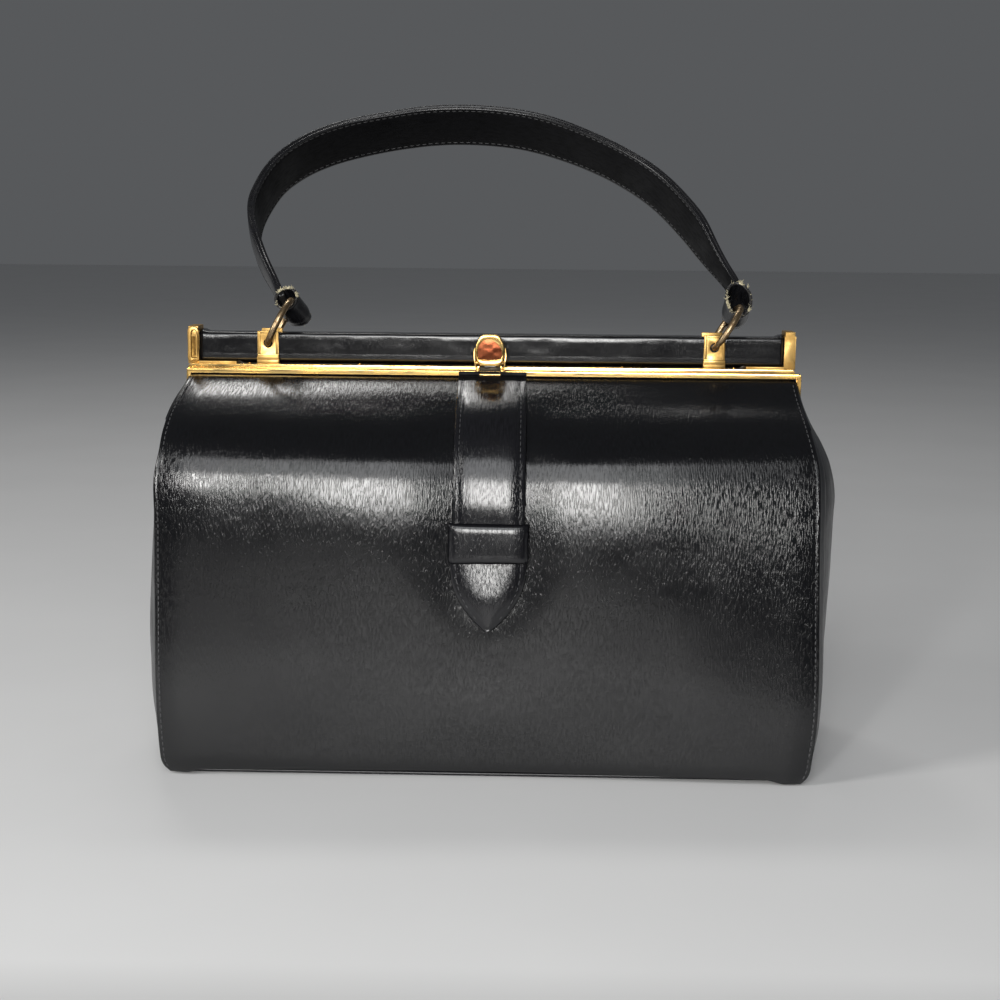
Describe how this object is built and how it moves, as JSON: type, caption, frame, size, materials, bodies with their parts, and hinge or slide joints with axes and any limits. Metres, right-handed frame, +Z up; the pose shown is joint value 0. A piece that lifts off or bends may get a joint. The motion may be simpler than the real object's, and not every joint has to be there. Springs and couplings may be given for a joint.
{
  "type": "frame handbag",
  "caption": "Boxy leather handbag with a hinged gold frame, a covered top bar, a flip clasp, a padded front belt and a strap handle on wire rings.",
  "frame": {"origin": "centre of the base on the surface the bag stands on; y = 0 is the plane where the two half frames meet", "axes": "+Z up, the front with the belt and the clasp faces -Y, +X is to the viewer's right across the bag's width"},
  "size_m": [0.3228, 0.1814, 0.3081],
  "materials": {
    "black_leather": "glossy, fine vertical grain",
    "card_board": "matt card",
    "lining_cloth": "matt woven",
    "gold_metal": "polished gilt, slightly worn",
    "wood_core": "raw",
    "spring_steel": "satin",
    "felt_padding": "matt felt",
    "copper_enamel": "mirror gloss",
    "bronze_wire": "tarnished, worn",
    "leather_core": "raw fibre edge",
    "raw_edge": "frayed raw edge",
    "thread": "waxed thread"
  },
  "bodies": {
    "bag": {"rear_panel": "black_leather", "base_panel": "black_leather", "left_gusset": "black_leather", "right_gusset": "black_leather", "rear_board": "card_board", "base_board": "card_board", "rear_lining": "lining_cloth", "base_lining": "lining_cloth", "left_gusset_lining": "lining_cloth", "right_gusset_lining": "lining_cloth", "inner_pocket": "lining_cloth", "rear_frame": "gold_metal", "hinge_pins": "gold_metal", "bar_core": "wood_core", "bar_cover": "black_leather", "bar_rivets": "gold_metal", "left_end_cap": "gold_metal", "right_end_cap": "gold_metal", "left_handle_bracket": "gold_metal", "right_handle_bracket": "gold_metal", "catch_plate": "gold_metal"},
    "front_frame": {"front_frame": "gold_metal", "clasp_base": "gold_metal", "clasp_pin": "gold_metal", "clasp_spring": "spring_steel", "clasp_rivets": "gold_metal"},
    "front_wall": {"front_panel": "black_leather", "front_board": "card_board", "front_lining": "lining_cloth", "front_belt": "black_leather", "belt_padding": "felt_padding", "belt_keeper": "black_leather"},
    "clasp_lever": {"clasp_lever": "gold_metal", "clasp_face": "copper_enamel"},
    "left_ring": {"left_ring": "bronze_wire"},
    "right_ring": {"right_ring": "bronze_wire"},
    "handle": {"handle_outer": "black_leather", "handle_core": "leather_core", "handle_inner": "black_leather", "left_loop": "black_leather", "right_loop": "black_leather"}
  },
  "joints": [
    {"name": "frame_hinge", "type": "hinge", "parent": "bag", "child": "front_frame", "pos_m": [0, 0, 0.118], "axis": [1, 0, 0], "range_deg": [0, 50], "deforming": ["left_gusset", "right_gusset", "left_gusset_lining", "right_gusset_lining"]},
    {"name": "front_fold", "type": "hinge", "parent": "bag", "child": "front_wall", "pos_m": [0, -0.0565, 0.001], "axis": [1, 0, 0], "range_deg": [0, 15], "deforming": ["front_panel", "front_board", "front_lining", "front_belt", "belt_padding", "belt_keeper"]},
    {"name": "clasp_hinge", "type": "hinge", "parent": "front_frame", "child": "clasp_lever", "pos_m": [0, -0.0064, 0.1845], "axis": [1, 0, 0], "range_deg": [0, 55], "stiffness_Nm_per_rad": 0.01, "springref_deg": -17.19},
    {"name": "left_ring_pivot", "type": "hinge", "parent": "bag", "child": "left_ring", "pos_m": [-0.1045, 0.0079, 0.1918], "axis": [0, 1, 0], "range_deg": [-1.5, 0]},
    {"name": "right_ring_pivot", "type": "hinge", "parent": "bag", "child": "right_ring", "pos_m": [0.1045, 0.0079, 0.1918], "axis": [0, 1, 0], "range_deg": [-1.5, 0]},
    {"name": "handle_swing", "type": "hinge", "parent": "bag", "child": "handle", "pos_m": [0, 0.0079, 0.19997], "axis": [1, 0, 0], "range_deg": [-12, 90], "deforming": ["left_loop", "right_loop"]}
  ],
  "couplings": [
    {"joint": "front_fold", "follows": "frame_hinge", "ratio": 0.3}
  ]
}
